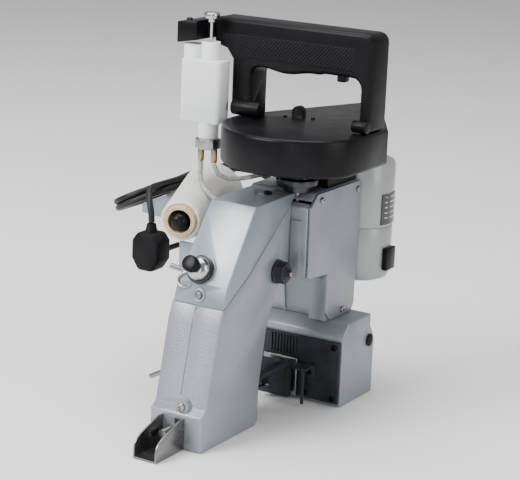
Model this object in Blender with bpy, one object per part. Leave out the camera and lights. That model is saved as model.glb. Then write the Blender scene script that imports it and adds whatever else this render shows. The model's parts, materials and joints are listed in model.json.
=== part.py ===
"""Portable bag closer: a hand-held chain-stitch machine that sews the mouth of a filled bag.

Metres, +Z up. +X points to the side-cover side, +Y to the motor at the rear. Positions are
measured from the arm's lower front right corner; the empty machine_origin moves the whole
machine so that the origin lies under its middle, on the surface it stands on.
"""

from math import acos, atan2, cos, hypot, pi, radians, sin, tan

import bmesh
import bpy
from mathutils import Matrix, Vector

MIDDLE_X, MIDDLE_Y = -0.0467, 0.1155    # middle of the machine without its cord
GAP = 0.0003            # clearance between pieces that touch
SIDES = 32              # sides of an ordinary round piece

# arm and front cover
ARM_LEFT = -0.049
ARM_WALL = 0.0055
COVER_TOP_LEFT = -0.0425
COVER_BACK = 0.133
PIVOT_Y, PIVOT_Z = 0.1067, 0.1266       # needle lever pivot
BAR_X, BAR_Z, BAR_R = -0.0285, 0.0140, 0.0040
BAR_FRONT, BAR_BACK = -0.0130, 0.1000
PIN_Y, PIN_Z = 0.0460, 0.0320          # pin by which the lever drives the needle bar
NEEDLE_TIP = 0.1720

# gear housing, neck and bed
HOUSING_FRONT, HOUSING_BACK = 0.1265, 0.2110
HOUSING_LEFT, HOUSING_RIGHT = -0.0460, 0.0152
HOUSING_FLOOR, HOUSING_TOP = 0.1185, 0.1890
SIDE_PLATE = 0.0025
BED_FRONT, BED_BACK = 0.1630, 0.2200
BED_LEFT, BED_RIGHT = -0.0470, 0.0350
BED_TOP = 0.0730
BED_PLATE = 0.0027

# belt drive
SHAFT_X, SHAFT_Y, SHAFT_R = -0.0020, 0.1385, 0.0040
MOTOR_X, MOTOR_Y, MOTOR_R = 0.0035, 0.2415, 0.0285
MOTOR_FLOOR, MOTOR_SEAM, MOTOR_TOP = 0.0960, 0.1445, 0.2020
PULLEY_R, PINION_R = 0.0360, 0.0080     # pitch radii
PULLEY_LOW, PULLEY_HIGH = 0.2215, 0.2385
BELT_LOW, BELT_HIGH, BELT_HALF = 0.2265, 0.2335, 0.0015
CASE_X, CASE_Y, CASE_R = 0.0090, 0.1195, 0.0645     # round end of the belt cover
TAIL_X, TAIL_Y, TAIL_R = 0.0030, 0.2405, 0.0145     # its narrow end
CASE_FLAT, CASE_CORNER = 0.0684, 0.1575
CASE_LOW, CASE_TOP, CASE_WALL = 0.2170, 0.2475, 0.0025

# handle and oil pot
GRIP_FRONT, GRIP_BACK = 0.1240, 0.1520
GRIP_LEFT, GRIP_TOP = -0.0800, 0.3262
POT_LEFT, POT_RIGHT, POT_FRONT, POT_BACK = -0.0995, -0.0610, 0.1040, 0.1225
POT_LOW, POT_HIGH = 0.2400, 0.2925
FILLER_X, PUMP_X, SPOUT_X, NECK_Y = -0.0925, -0.0757, -0.0755, 0.1133
TUBE_R = 0.0020

# thread cone, on a spindle that points forward and to the right
NOSE = Vector((-0.0625, 0.0540, 0.1684))
CONE_TURN = radians(18)
CONE_LENGTH = 0.112

# power cord
CORD_R = 0.00275
HANK_RUN = 0.090                        # straight stretch of each turn
HANK_FOLD = 10 * CORD_R                 # bend radius of the outermost turns
HANK_MIDDLE = Vector((-0.1560, 0.1845, 0.1610))
HANK_TILT = radians(26.5)               # it leans with its right side up
GLAND_LENGTH, GLAND_Z = 0.0250, 0.1200
LEAD_BEND, LEAD_TURN = 0.0240, radians(78)
PLUG_TOP = Vector((-0.1180, 0.0960, 0.1500))

colours = {
    "casting": ((0.52, 0.55, 0.58), 0.38, 0.75),
    "cover": ((0.58, 0.62, 0.65), 0.35, 0.70),
    "steel": ((0.60, 0.60, 0.61), 0.25, 1.00),
    "chrome": ((0.75, 0.75, 0.76), 0.12, 1.00),
    "zinc": ((0.68, 0.68, 0.64), 0.30, 1.00),
    "brass": ((0.62, 0.47, 0.22), 0.30, 1.00),
    "blackened": ((0.03, 0.03, 0.033), 0.40, 0.60),
    "black": ((0.018, 0.018, 0.020), 0.42, 0.00),
    "white": ((0.82, 0.84, 0.84), 0.45, 0.00),
    "motor": ((0.66, 0.67, 0.67), 0.35, 0.20),
    "tube": ((0.55, 0.58, 0.57), 0.20, 0.00),
    "thread": ((0.86, 0.84, 0.76), 0.85, 0.00),
    "kraft": ((0.50, 0.36, 0.21), 0.80, 0.00),
    "rubber": ((0.022, 0.022, 0.024), 0.60, 0.00),
}

for old in list(bpy.data.objects):
    bpy.data.objects.remove(old)

origin = bpy.data.objects.new("machine_origin", None)
origin.location = (-MIDDLE_X, -MIDDLE_Y, 0)
bpy.context.scene.collection.objects.link(origin)


# ---- making and joining solids -------------------------------------------------------------


def place(name, mesh, finish):
    """Link a mesh as an object under machine_origin, with its own material."""
    item = bpy.data.objects.new(name, mesh)
    bpy.context.scene.collection.objects.link(item)
    item.parent = origin
    colour, roughness, metallic = colours[finish]
    material = bpy.data.materials.new(name)
    material.use_nodes = True
    shader = material.node_tree.nodes["Principled BSDF"]
    shader.inputs["Base Color"].default_value = (*colour, 1.0)
    shader.inputs["Roughness"].default_value = roughness
    shader.inputs["Metallic"].default_value = metallic
    mesh.materials.append(material)
    return item


def solid(name, work, finish, smooth=False):
    """Turn a bmesh into an object whose faces point out."""
    bmesh.ops.recalc_face_normals(work, faces=work.faces)
    mesh = bpy.data.meshes.new(name)
    work.to_mesh(mesh)
    work.free()
    if smooth:
        mesh.shade_smooth()
        mesh.set_sharp_from_angle(angle=radians(35))
    return place(name, mesh, finish)


def prism(name, outline, axis, low, high, finish, smooth=False):
    """Extrude a flat outline along an axis. The outline holds the other two coordinates in order."""
    order = {"X": (2, 0, 1), "Y": (0, 2, 1), "Z": (0, 1, 2)}[axis]
    work = bmesh.new()
    lower = [work.verts.new([(a, b, low)[i] for i in order]) for a, b in outline]
    upper = [work.verts.new([(a, b, high)[i] for i in order]) for a, b in outline]
    work.faces.new(lower)
    work.faces.new(upper)
    for i in range(len(outline)):
        j = (i + 1) % len(outline)
        work.faces.new((lower[i], lower[j], upper[j], upper[i]))
    return solid(name, work, finish, smooth)


def block(name, low, high, finish):
    """A box between two corners."""
    outline = [(low[0], low[1]), (high[0], low[1]), (high[0], high[1]), (low[0], high[1])]
    return prism(name, outline, "Z", low[2], high[2], finish)


def turned(name, profile, centre, finish, direction=(0, 0, 1), sides=SIDES, sharp=True):
    """Turn a closed profile of (radius, height) pairs about a line through centre."""
    spin = Vector((0, 0, 1)).rotation_difference(Vector(direction)).to_matrix().to_4x4()
    frame = Matrix.Translation(centre) @ spin
    work = bmesh.new()
    rings = []
    for radius, height in profile:
        if radius == 0:
            rings.append([work.verts.new(frame @ Vector((0, 0, height)))])
            continue
        ring = []
        for k in range(sides):
            turn = 2 * pi * k / sides
            ring.append(work.verts.new(frame @ Vector((radius * cos(turn), radius * sin(turn), height))))
        rings.append(ring)
    for one, two in zip(rings, rings[1:] + rings[:1]):
        for k in range(sides):
            m = (k + 1) % sides
            corners = [one[k % len(one)], one[m % len(one)], two[m % len(two)], two[k % len(two)]]
            corners = list(dict.fromkeys(corners))
            if len(corners) > 2:
                work.faces.new(corners)
    return solid(name, work, finish, sharp)


def rod(name, start, end, radius, finish, sides=SIDES):
    """A plain round bar from one point to another."""
    start, end = Vector(start), Vector(end)
    length = (end - start).length
    return turned(name, [(0, 0), (radius, 0), (radius, length), (0, length)], start, finish, end - start,
                  sides)


def combine(body, tool, operation):
    """Add a tool to a body or cut it away, and hide the tool."""
    tool.hide_render = True
    tool.display_type = "WIRE"
    step = body.modifiers.new(tool.name, "BOOLEAN")
    step.operation = operation
    step.object = tool
    step.solver = "EXACT"
    return body


def cut(body, tool):
    return combine(body, tool, "DIFFERENCE")


def add(body, tool):
    return combine(body, tool, "UNION")


def soften(item, width, segments=2, angle=35):
    """Round the sharp edges."""
    step = item.modifiers.new("soft_edges", "BEVEL")
    step.width = width
    step.segments = segments
    step.limit_method = "ANGLE"
    step.angle_limit = radians(angle)
    return item


def set_pivot(item, point):
    """Put a moving piece's origin on its joint axis."""
    point = Vector(point)
    item.data.transform(Matrix.Translation(-point))
    item.location = point
    return item


def rounded(points, radius, steps=4):
    """Replace each corner of an outline with an arc. A radius may be one number or one for each corner."""
    radii = radius if isinstance(radius, (list, tuple)) else [radius] * len(points)
    result = []
    for i, corner in enumerate(points):
        corner = Vector(corner)
        back = (Vector(points[i - 1]) - corner).normalized()
        ahead = (Vector(points[(i + 1) % len(points)]) - corner).normalized()
        if radii[i] == 0:
            result.append(tuple(corner))
            continue
        half = acos(max(-1.0, min(1.0, back.dot(ahead)))) / 2
        reach = radii[i] / tan(half)
        middle = corner + (back + ahead).normalized() * radii[i] / sin(half)
        first = corner + back * reach - middle
        last = corner + ahead * reach - middle
        start = atan2(first.y, first.x)
        sweep = (atan2(last.y, last.x) - start + pi) % (2 * pi) - pi
        for k in range(steps + 1):
            turn = start + sweep * k / steps
            result.append((middle.x + radii[i] * cos(turn), middle.y + radii[i] * sin(turn)))
    return result


def belt_line(x1, y1, r1, x2, y2, r2, steps=14):
    """The outline of a band stretched round two circles."""
    lean = atan2(y2 - y1, x2 - x1)
    open_angle = acos((r1 - r2) / hypot(x2 - x1, y2 - y1))
    outline = []
    for k in range(2 * steps + 1):
        turn = lean + open_angle + (2 * pi - 2 * open_angle) * k / (2 * steps)
        outline.append((x1 + r1 * cos(turn), y1 + r1 * sin(turn)))
    for k in range(steps + 1):
        turn = lean - open_angle + 2 * open_angle * k / steps
        outline.append((x2 + r2 * cos(turn), y2 + r2 * sin(turn)))
    return outline


def screw(name, centre, direction, radius, finish="zinc"):
    """The round head of a screw, on the surface."""
    profile = [(0, 0), (radius, 0), (radius, 0.45 * radius), (0.75 * radius, 0.75 * radius),
               (0, 0.85 * radius)]
    spot = Vector(centre) + Vector(direction).normalized() * GAP
    return turned(name, profile, spot, finish, direction, 20)


def smooth_line(points, spacing):
    """Points at an even spacing along a smooth curve through the given points."""
    path = [Vector(p) for p in points]
    path = [2 * path[0] - path[1]] + path + [2 * path[-1] - path[-2]]
    fine = []
    for a, b, c, d in zip(path, path[1:], path[2:], path[3:]):
        for k in range(24):
            t = k / 24
            fine.append(0.5 * (2 * b + (c - a) * t + (2 * a - 5 * b + 4 * c - d) * t**2
                               + (3 * b - a - 3 * c + d) * t**3))
    fine.append(path[-2])
    total = sum((q - p).length for p, q in zip(fine, fine[1:]))
    count = max(2, round(total / spacing))
    result, walked, goal = [fine[0]], 0.0, total / count
    for p, q in zip(fine, fine[1:]):
        step = (q - p).length
        while walked + step >= goal * len(result) and len(result) < count:
            result.append(p.lerp(q, (goal * len(result) - walked) / step))
        walked += step
    return result + [fine[-1]]


def curve_points(start, leave, arrive, end, count=12):
    """Points on a curve that sets out from start towards leave and comes to end from arrive."""
    points = []
    for k in range(count + 1):
        t = k / count
        near = (1 - t) ** 3 * start + 3 * (1 - t) ** 2 * t * leave
        points.append(near + 3 * (1 - t) * t**2 * arrive + t**3 * end)
    return points


def hose(name, points, radius, finish, resolution=2):
    """A round tube of one radius along a smooth curve, with closed ends."""
    curve = bpy.data.curves.new(name, "CURVE")
    curve.dimensions = "3D"
    curve.bevel_depth = radius
    curve.bevel_resolution = resolution
    curve.use_fill_caps = True
    line = smooth_line(points, 5 * radius)
    spline = curve.splines.new("POLY")
    spline.points.add(len(line) - 1)
    for knot, spot in zip(spline.points, line):
        knot.co = (*spot, 1.0)
    return place(name, curve, finish)


# ---- arm, front cover and needle drive -----------------------------------------------------

parting = [(0.0265, 0.1110), (0.0639, 0.1326), (0.1125, 0.1699), (COVER_BACK, 0.1863)]


def make_arm():
    """The hollow arm that leans back from its toe to the gear housing."""
    line_at_back = 0.1699 + (HOUSING_FRONT - 0.1125) / (COVER_BACK - 0.1125) * (0.1863 - 0.1699)
    back = HOUSING_FRONT - GAP
    outline = [(0, 0), (0.081, 0), (0.086, 0.005), (0.0855, 0.034), (0.094, 0.080), (0.1085, 0.113),
               (back, 0.121), (back, line_at_back), (0.1125, 0.1699), (0.0639, 0.1326), (0.0265, 0.1110),
               (0.0213, 0.0974), (0.0067, 0.0335), (0, 0.029)]
    arm = prism("arm_casting", outline, "X", ARM_LEFT, 0, "casting")
    soften(arm, 0.0012)
    hollow = [(0.006, 0.006), (0.082, 0.006), (0.0818, 0.0345), (0.0903, 0.0815), (0.1055, 0.1160),
              (0.1225, 0.1237), (0.1225, 0.195), (0.040, 0.150), (0.0300, 0.1085), (0.0250, 0.0985),
              (0.0110, 0.036), (0.006, 0.028)]
    cut(arm, prism("arm_hollow", hollow, "X", ARM_LEFT + ARM_WALL, -ARM_WALL, "casting"))
    cut(arm, rod("needle_bar_bore", (BAR_X, -0.01, BAR_Z), (BAR_X, 0.12, BAR_Z), BAR_R + 0.0004, "steel",
                 24))
    cut(arm, rod("presser_bar_bore", (-0.013, 0.07, 0.034), (-0.013, 0.10, 0.034), 0.0044, "steel", 24))
    cut(arm, rod("pivot_bore", (-0.060, PIVOT_Y, PIVOT_Z), (0.01, PIVOT_Y, PIVOT_Z), 0.0043, "steel", 24))
    cut(arm, rod("lift_bore", (-0.060, 0.066, 0.052), (-0.030, 0.066, 0.052), 0.0034, "steel", 20))
    groove = [(0, 0.042), (0.0094, 0.042), (0.0220, 0.0972), (0.0282, 0.113), (0.01, 0.113)]
    cut(arm, prism("front_groove", groove, "X", -0.0262, -0.0240, "casting"))
    add(arm, turned("toe_boss", [(0, -0.004), (0.0062, -0.004), (0.0062, 0.0016), (0, 0.0016)],
                    (-0.0205, 0.0035, 0.0345), "casting", (0, -1, 0.0), 24))
    return arm


def make_front_cover():
    """The sloping cover over the needle lever, hollow and open towards the arm."""
    outline = [(y, z + GAP * 1.6) for y, z in parting]
    outline = [outline[0], (0.0308, 0.1283), (0.0652, 0.1810), (0.0700, 0.1876),
               (COVER_BACK - 0.0005, 0.1887)] \
        + outline[:0:-1]
    cover = prism("front_cover", outline, "X", ARM_LEFT + 0.0010, 0, "cover")
    for corner in cover.data.vertices:
        if corner.co.x < -0.02:
            corner.co.x += (corner.co.z - 0.111) / 0.0765 * (COVER_TOP_LEFT - ARM_LEFT - 0.001)
    soften(cover, 0.0022, 3)
    hollow = [(0.0325, 0.108), (0.0345, 0.1270), (0.0680, 0.1780), (0.0725, 0.1838), (0.1255, 0.1850),
              (0.1255, 0.1700), (0.1125, 0.160), (0.0639, 0.120)]
    cut(cover, prism("cover_hollow", hollow, "X", COVER_TOP_LEFT + 0.004, -0.0040, "cover"))
    add(cover, turned("tension_boss", [(0, -0.003), (0.0130, -0.003), (0.0122, 0.0022), (0, 0.0022)],
                      tension_seat, "cover", tension_way, 28))
    cut(cover, rod("tension_bore", tension_seat - tension_way * 0.008, tension_seat + tension_way * 0.01,
                   0.0023, "cover", 20))
    screw("front_cover_screw", (-0.0245, 0.0280, 0.1197), (0, -0.970, 0.243), 0.0026)
    cut(cover, rod("oil_hole", (-0.0215, 0.108, 0.18), (-0.0215, 0.108, 0.20), 0.0030, "cover", 20))
    return cover


tension_way = Vector((0, -0.88, 0.475)).normalized()
tension_seat = Vector((-0.0275, 0.0372, 0.1370))


def make_tension():
    """Stud, discs, spring cup and adjusting knob of the thread tension, in a row on one axis."""
    seat = tension_seat + tension_way * (0.0022 + GAP)
    stud = [(0, -0.011), (0.0020, -0.011), (0.0020, 0.0195), (0, 0.0195)]
    turned("tension_stud", stud, seat, "steel", tension_way, 16)
    discs = [(0.0024, 0), (0.0098, 0), (0.0116, 0.0009), (0.0116, 0.0014), (0.0070, 0.0019),
             (0.0116, 0.0024),
             (0.0116, 0.0029), (0.0098, 0.0038), (0.0024, 0.0038)]
    turned("tension_discs", discs, seat, "blackened", tension_way, 32)
    cup = [(0.0024, 0.0041), (0.0098, 0.0041), (0.0101, 0.0048), (0.0095, 0.0068), (0.0082, 0.0088),
           (0.0064, 0.0103), (0.0044, 0.0112), (0.0024, 0.0112)]
    turned("tension_cup", cup, seat, "chrome", tension_way, 24)
    knob = [(0.0024, 0.0115), (0.0048, 0.0115), (0.0052, 0.0135), (0.0066, 0.0150), (0.0066, 0.0205),
            (0.0058, 0.0218), (0, 0.0222), (0, 0.0198), (0.0024, 0.0198)]
    set_pivot(turned("tension_knob", knob, seat, "black", tension_way, 28), seat)


def make_thread_guide():
    """A pin with an eye beside the tension unit, carried by a small plate on the cover's left side."""
    guide = block("thread_guide", (ARM_LEFT - 0.0012, 0.046, 0.124), (ARM_LEFT - 0.0004, 0.060, 0.136),
                  "steel")
    add(guide, rod("guide_pin", (ARM_LEFT - 0.0008, 0.050, 0.130), (ARM_LEFT - 0.0145, 0.044, 0.134),
                   0.0022,
                   "steel", 16))


def make_needle_drive():
    """Needle lever on its pivot bolt, and the needle bar with its needle."""
    lean = atan2(PIVOT_Y - PIN_Y, PIVOT_Z - PIN_Z)
    reach = hypot(PIVOT_Y - PIN_Y, PIVOT_Z - PIN_Z) + 0.0160
    down = Vector((0, -sin(lean), -cos(lean)))
    across = Vector((0, cos(lean), -sin(lean)))

    def lever_shape(half):
        """A symmetrical outline from (half width, distance below the pivot) pairs."""
        points = [down * s + across * w for w, s in half] + [down * s - across * w for w,
                                                             s in reversed(half)]
        return [(p.y, p.z) for p in points]

    low, high = BAR_X - 0.0100, BAR_X - 0.0045
    blade = [(0.0060, -0.0045), (0.0075, 0), (0.0055, 0.005), (0.0042, 0.011), (0.0042, 0.080),
             (0.0062, 0.095),
             (0.0062, reach)]
    lever = prism("needle_lever", lever_shape(blade), "X", low, high, "casting")
    fork = [(0.0031, reach - 0.032), (0.0031, reach + 0.01)]
    tools = [rod("lever_bore", (low - 0.01, 0, 0), (high + 0.01, 0, 0), 0.0042, "steel", 24),
             prism("lever_fork", lever_shape(fork), "X", low - 0.01, high + 0.01, "steel")]
    for tool in tools:
        cut(lever, tool)
    for item in [lever] + tools:
        item.location = (0, PIVOT_Y, PIVOT_Z)

    bolt = [(0, -0.0475), (0.0038, -0.0475), (0.0038, 0.0004), (0.0100, 0.0004), (0.0100, 0.0022),
            (0.0052, 0.0024), (0.0052, 0.0102), (0.0032, 0.0102), (0.0032, 0.0128), (0, 0.0128)]
    bolt = turned("pivot_bolt", bolt, (0, PIVOT_Y, PIVOT_Z), "blackened", (1, 0, 0), 24)
    turns = [pi * k / 3 + 0.3 for k in range(6)]
    hexagon = [(PIVOT_Y + 0.0092 * cos(turn), PIVOT_Z + 0.0092 * sin(turn)) for turn in turns]
    add(bolt, prism("pivot_hexagon", hexagon, "X", 0.0020, 0.0092, "blackened"))

    bar = rod("needle_bar", (BAR_X, BAR_FRONT, BAR_Z), (BAR_X, BAR_BACK, BAR_Z), BAR_R, "steel", 24)
    add(bar, block("bar_clamp", (high + 0.0005, PIN_Y - 0.005, BAR_Z - 0.005),
                   (BAR_X + 0.005, PIN_Y + 0.005, PIN_Z + 0.004),
                   "steel"))
    add(bar, rod("bar_pin", (low - 0.0008, PIN_Y, PIN_Z), (BAR_X, PIN_Y, PIN_Z), 0.0020, "steel", 16))
    cut(bar, rod("needle_socket", (BAR_X, BAR_BACK - 0.012, BAR_Z), (BAR_X, BAR_BACK + 0.01, BAR_Z),
                 0.0016, "steel", 16))
    start = BAR_BACK - 0.0115
    length = NEEDLE_TIP - start
    needle = [(0, 0), (0.0012, 0), (0.0012, 0.026), (0.0009, 0.028), (0.0009, length - 0.006), (0, length)]
    turned("needle", needle, (BAR_X, start, BAR_Z), "chrome", (0, 1, 0), 12)


def make_guard():
    """The steel channel that covers the front end of the needle bar."""
    left, right, wall = -0.0375, -0.0160, 0.0012
    front, low = -0.0390, 0.0006
    side = [(-GAP, low), (-GAP, 0.0262), (-0.0050, 0.0262), (-0.0100, 0.0250), (-0.0300, 0.0188),
            (-0.0350, 0.0160), (-0.0380, 0.0125), (front, 0.0085), (front, low)]
    guard = prism("needle_guard", side, "X", left, right, "steel")
    cut(guard, block("guard_inside", (left + wall, front - 0.01, low + wall), (right - wall, 0.01, 0.04),
                     "steel"))
    add(guard, block("guard_tab", (-0.0245, -0.0016, 0.0200), (-0.0165, -0.0004, 0.0262), "steel"))
    screw("guard_screw", (-0.0205, 0.0019, 0.0345), (0, -1, 0), 0.0034)


def make_presser():
    """Spring-loaded presser foot in front of the needle plate, and the lever that draws it back."""
    foot = block("presser_foot", (-0.0370, 0.1445, 0.0060), (-0.0060, 0.1500, 0.0360), "blackened")
    cut(foot, block("needle_way", (-0.0320, 0.14, 0.0105), (-0.0250, 0.16, 0.0175), "steel"))
    add(foot, rod("presser_bar", (-0.013, 0.060, 0.034), (-0.013, 0.146, 0.034), 0.0040, "steel", 20))
    add(foot, block("foot_shoe", (-0.0365, 0.1180, 0.0250), (-0.0100, 0.1447, 0.0355), "blackened"))
    lever = rod("presser_lever", (-0.060, 0.066, 0.052), (-0.0425, 0.066, 0.052), 0.0030, "steel", 16)
    add(lever, block("lever_blade", (-0.0535, 0.030, 0.0492), (-0.0510, 0.0690, 0.0548), "steel"))
    add(lever, rod("lever_tip", (-0.0525, 0.033, 0.0520), (-0.0700, 0.030, 0.0420), 0.0020, "steel", 16))
    for step in lever.modifiers:
        step.object.data.transform(Matrix.Translation((0, -0.066, -0.052)))
        step.object.location = (0, 0.066, 0.052)
    set_pivot(lever, (0, 0.066, 0.052))


# ---- gear housing, neck, bed and stitch-forming pieces -------------------------------------


def make_housing():
    """Gear housing with its neck; open on the right, where the side cover closes it."""
    outline = [(HOUSING_FRONT, HOUSING_FLOOR), (HOUSING_FRONT, 0.1775), (0.1378, HOUSING_TOP),
               (HOUSING_BACK, HOUSING_TOP), (HOUSING_BACK, HOUSING_FLOOR)]
    housing = prism("gear_housing", outline, "X", HOUSING_LEFT, HOUSING_RIGHT, "casting")
    soften(housing, 0.0012)
    low = BED_TOP + GAP
    neck = [(0.140, HOUSING_FLOOR + 0.002)]
    neck += [(0.140 + 0.028 * sin(k * pi / 12),
              HOUSING_FLOOR - 0.018 + 0.018 * cos(k * pi / 12)) for k in range(7)]
    neck += [(0.1700, 0.0900), (0.1712, 0.0800), (0.1728, low)]
    neck += [(HOUSING_BACK, low), (HOUSING_BACK, HOUSING_FLOOR + 0.002)]
    add(housing, prism("neck", neck, "X", -0.0455, 0.0110, "casting"))
    add(housing, block("neck_land", (0.0, 0.1640, low), (HOUSING_RIGHT, HOUSING_BACK,
                                                         HOUSING_FLOOR + 0.002), "casting"))
    add(housing, block("step_pad", (0.0006, HOUSING_FRONT - 0.0018, 0.1190),
                       (0.0095, HOUSING_FRONT + 0.001, 0.1670),
                       "casting"))
    rib = [(y - 0.0013, max(z - 0.0009, low)) for y, z in neck[:-2]] + [(0.1800, low),
                                                                        (0.1800, HOUSING_FLOOR - 0.005)]
    add(housing, prism("neck_rib", rib, "X", -0.0290, -0.0272, "casting"))
    cut(housing, block("gear_room", (-0.0400, 0.1300, 0.1240), (0.02, 0.2060, 0.1830), "casting"))
    cut(housing, rod("shaft_way", (SHAFT_X, SHAFT_Y, 0.17), (SHAFT_X, SHAFT_Y, 0.20), SHAFT_R + 0.0006,
                     "steel"))
    return housing


def make_side_cover():
    """The flat plate on the right of the housing and neck, held by three screws."""
    low = HOUSING_RIGHT + GAP
    outline = rounded([(0.1272, 0.1182), (0.1272, 0.1785), (0.1380, 0.1886), (0.2108, 0.1886),
                       (0.2128, 0.1410),
                       (0.2105, 0.0960), (0.2105, 0.0800), (0.2055,
                                                            0.0735), (0.1690, 0.0735), (0.1606, 0.0820),
                       (0.1606, 0.1158)],
                      [0.0010, 0.0015, 0.0015, 0.0015, 0, 0, 0.004, 0.003, 0.006, 0.004, 0.001])
    plate = prism("side_cover", outline, "X", low, low + SIDE_PLATE, "casting")
    soften(plate, 0.0004, 1)
    face = low + SIDE_PLATE
    for k, (y, z) in enumerate([(0.1441, 0.1826), (0.2063, 0.1817), (0.1889, 0.0790)]):
        screw(f"side_cover_screw_{k + 1}", (face, y, z), (1, 0, 0), 0.0027)


def make_bed():
    """The bed casting, hollow behind its front plate, with a round-edged back."""
    back = HOUSING_BACK + 0.001
    outline = [(BED_FRONT, 0), (BED_FRONT, 0.0625), (0.1645, 0.0645), (0.1728, BED_TOP), (back, BED_TOP),
               (back, 0.0620), (0.2170, 0.0560), (0.2195, 0.0500), (BED_BACK, 0.0440), (BED_BACK, 0)]
    bed = prism("bed_casting", outline, "X", BED_LEFT, BED_RIGHT, "casting")
    soften(bed, 0.0012)
    cut(bed, block("bed_hollow", (BED_LEFT + 0.005, 0.10, 0.006), (BED_RIGHT - 0.006, 0.2150, 0.0550),
                   "casting"))
    cut(bed, rod("plug_bore", (BED_RIGHT - 0.008, 0.2101, 0.0494), (BED_RIGHT + 0.01, 0.2101, 0.0494),
                 0.0045,
                 "casting", 24))
    plug = [(0, -0.0052), (0.0041, -0.0052), (0.0041, 0.0002), (0.0055, 0.0003), (0.0055, 0.0013),
            (0, 0.0018)]
    turned("bed_plug", plug, (BED_RIGHT, 0.2101, 0.0494), "rubber", (1, 0, 0), 24)

    back = BED_FRONT - GAP
    front = back - BED_PLATE
    plate = block("bed_plate", (BED_LEFT + 0.0005, front, 0.0030), (BED_RIGHT - 0.0012, back, 0.0575),
                  "blackened")
    soften(plate, 0.0006, 1)
    cut(plate, block("stitch_window", (-0.0345, 0.15, 0.0070), (-0.0075, 0.18, 0.0300), "steel"))
    for k, (x, z) in enumerate([(0.0285, 0.0530), (0.0285, 0.0072)]):
        screw(f"bed_plate_screw_{k + 1}", (x, front, z), (0, -1, 0), 0.0028, "blackened")

    steel_back = front - GAP
    needle_plate = block("needle_plate", (-0.0385, steel_back - 0.0040, 0.0040),
                         (-0.0050, steel_back, 0.0380), "steel")
    soften(needle_plate, 0.0006, 1)
    cut(needle_plate, rod("needle_hole", (BAR_X, 0.14, BAR_Z), (BAR_X, 0.18, BAR_Z), 0.0030, "steel", 20))
    cut(needle_plate, block("feed_slot", (-0.0240, 0.14, 0.0085), (-0.0080, 0.18, 0.0195), "steel"))

    tooth = steel_back - 0.0040 - 0.0010
    teeth = [(-0.0210, tooth + 0.0140), (-0.0210, tooth + 0.0010)]
    for k in range(5):
        teeth += [(-0.0210 + 0.0020 * k + 0.0004, tooth), (-0.0210 + 0.0020 * (k + 1), tooth + 0.0010)]
    teeth += [(-0.0110, tooth + 0.0140)]
    prism("feed_dog", teeth, "Z", 0.0095, 0.0185, "steel")

    centre = Vector((0.0080, 0.1780, 0.0380))
    looper = turned("looper", [(0, -0.004), (0.006, -0.004), (0.006, 0.012), (0, 0.012)], centre, "steel",
                    (0, 1, 0), 20)
    arm = [(0.0060, 0.0420), (0.0040, 0.0440), (-0.0210, 0.0300), (-0.0245, 0.0195), (-0.0190, 0.0230),
           (-0.0170, 0.0270), (0.0080, 0.0360)]
    add(looper, prism("looper_arm", arm, "Y", centre.y - 0.0020, centre.y + 0.0020, "steel"))
    for step in looper.modifiers:
        step.object.data.transform(Matrix.Translation(-centre))
        step.object.location = centre
    set_pivot(looper, centre)


def make_chain_cutter():
    """The bracket and upright blade that cut the thread chain beside the needle plate."""
    low = BED_FRONT - GAP - BED_PLATE - GAP
    cutter = block("chain_cutter", (-0.0040, low - 0.0170, 0.0330), (0.0115, low, 0.0350), "blackened")
    add(cutter, block("cutter_foot", (-0.0040, low - 0.0020, 0.0230), (0.0115, low, 0.0350), "blackened"))
    add(cutter, rod("cutter_rod", (0.0075, low - 0.0145, 0.0340), (0.0075, low - 0.0145, 0.0030), 0.0015,
                    "steel", 16))


# ---- belt drive and motor ------------------------------------------------------------------


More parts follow.
